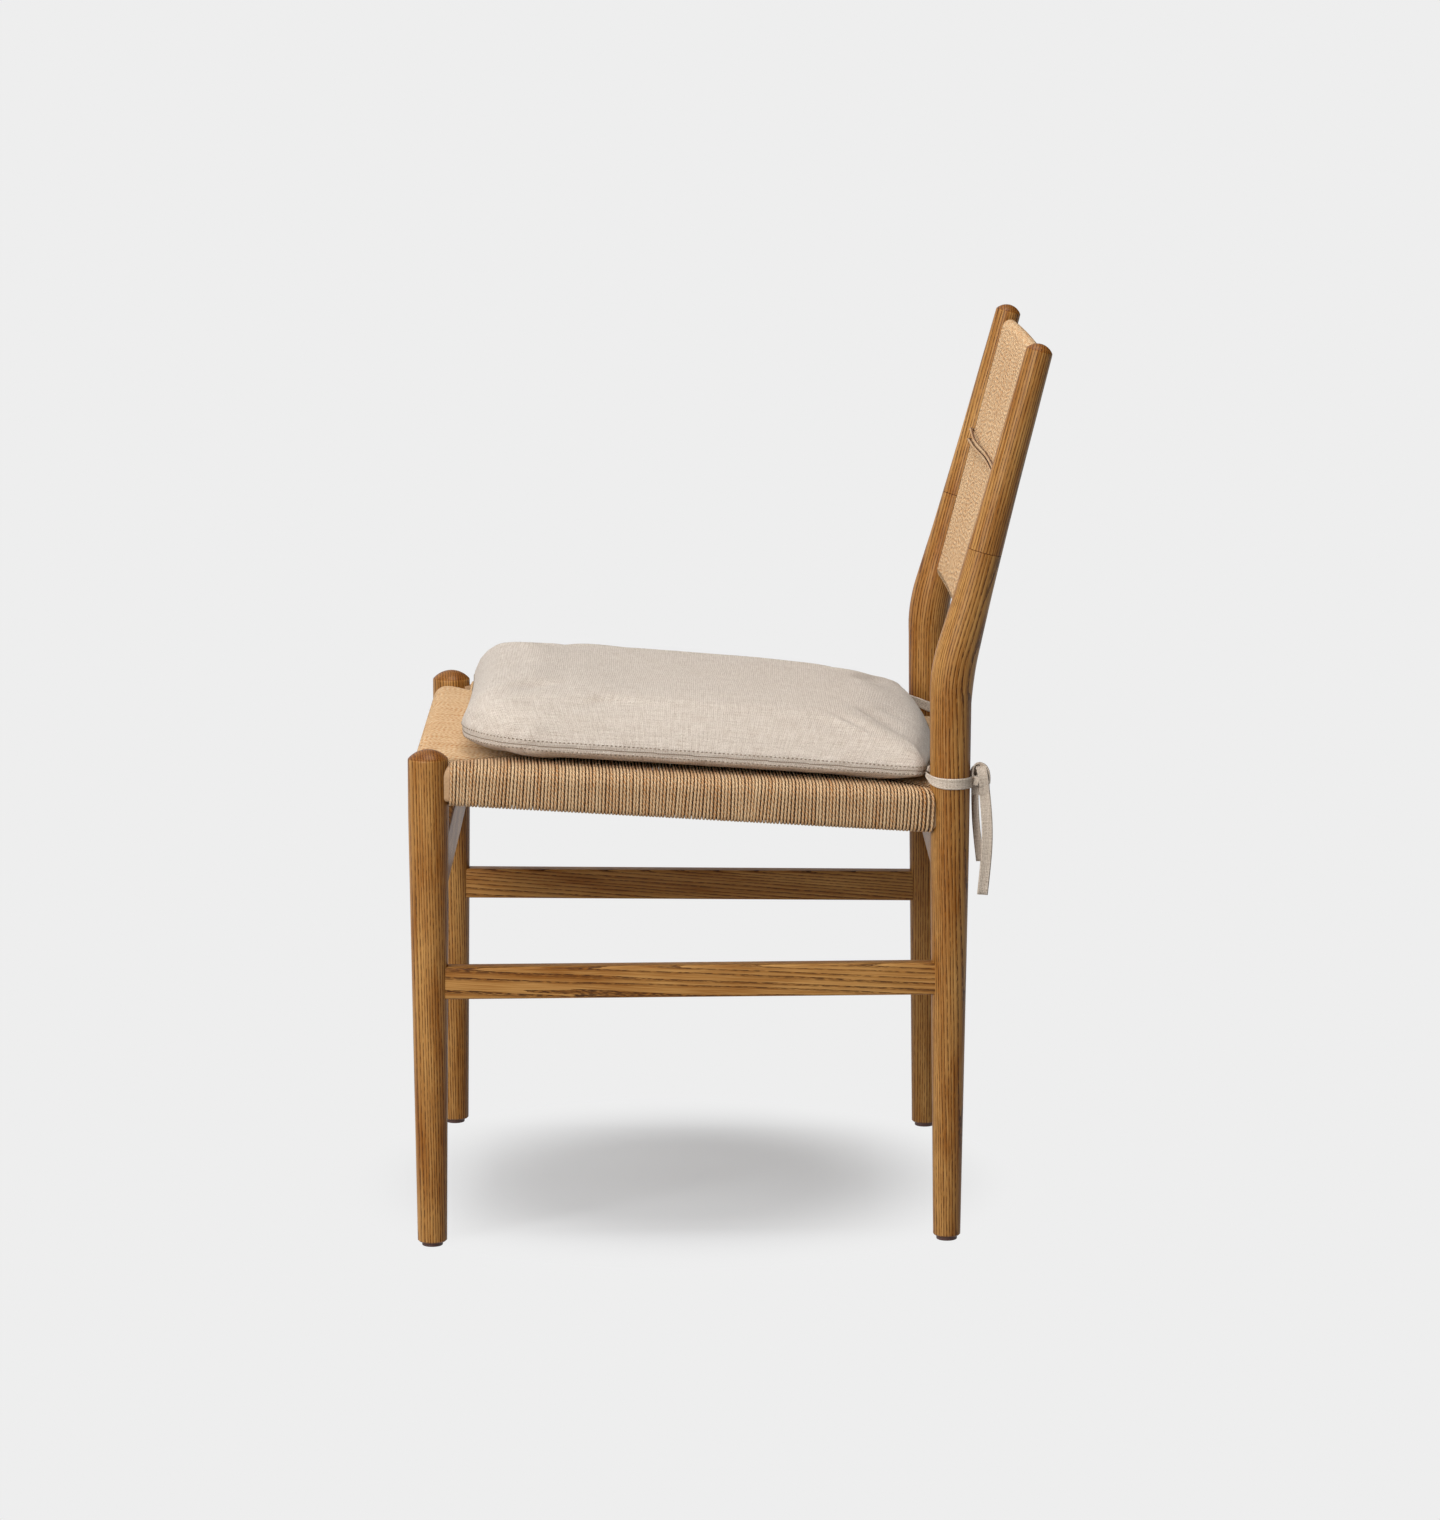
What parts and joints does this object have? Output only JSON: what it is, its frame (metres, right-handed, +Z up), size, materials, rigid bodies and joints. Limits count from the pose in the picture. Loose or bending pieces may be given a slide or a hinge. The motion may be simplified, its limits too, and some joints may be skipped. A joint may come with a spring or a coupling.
{
  "type": "side chair",
  "caption": "Oak side chair without arms, paper-cord seat and back on round tapered legs, with a tied linen seat pad.",
  "frame": {"origin": "on the floor, in the middle of the chair's overall box", "axes": "+Z up, the sitter faces -Y, +X is the sitter's left"},
  "size_m": [0.51, 0.5781, 0.8205],
  "materials": {
    "stained_oak": "stained mid brown under a satin clear varnish",
    "raw_wood": "planed, unfinished, hidden under cord or inside joints",
    "paper_cord": "twisted kraft paper cord, matt with a faint wax sheen",
    "linen": "woven undyed linen, matt",
    "pad_foam": "open-cell foam",
    "glide_plastic": "moulded dark brown nylon",
    "nail_steel": "bright drawn steel"
  },
  "bodies": {
    "frame": {"back_binding_cord": "paper_cord", "back_cord_panel": "paper_cord", "back_rail_bottom": "raw_wood", "back_rail_top": "raw_wood", "front_leg_left": "stained_oak", "front_leg_right": "stained_oak", "glide_front_left": "glide_plastic", "glide_front_right": "glide_plastic", "glide_nails": "nail_steel", "glide_rear_left": "glide_plastic", "glide_rear_right": "glide_plastic", "post_dowel_left": "raw_wood", "post_dowel_right": "raw_wood", "rear_post_lower_left": "stained_oak", "rear_post_lower_right": "stained_oak", "rear_post_upper_left": "stained_oak", "rear_post_upper_right": "stained_oak", "seat_cord_front": "paper_cord", "seat_cord_left": "paper_cord", "seat_cord_rear": "paper_cord", "seat_cord_right": "paper_cord", "seat_rail_front": "raw_wood", "seat_rail_left": "raw_wood", "seat_rail_rear": "raw_wood", "seat_rail_right": "raw_wood", "stretcher_front": "stained_oak", "stretcher_left": "stained_oak", "stretcher_rear": "stained_oak", "stretcher_right": "stained_oak", "tie_band_left": "linen", "tie_band_right": "linen", "tie_knot_left": "linen", "tie_knot_right": "linen", "tie_tail_long_left": "linen", "tie_tail_long_right": "linen", "tie_tail_short_left": "linen", "tie_tail_short_right": "linen"},
    "seat_pad": {"seat_pad_cover": "linen", "seat_pad_insert": "pad_foam"}
  },
  "joints": [
    {"name": "pad_lift", "type": "hinge", "parent": "frame", "child": "seat_pad", "pos_m": [0, 0.1798, 0.4322], "axis": [-1, 0, 0], "range_deg": [0, 60]}
  ]
}
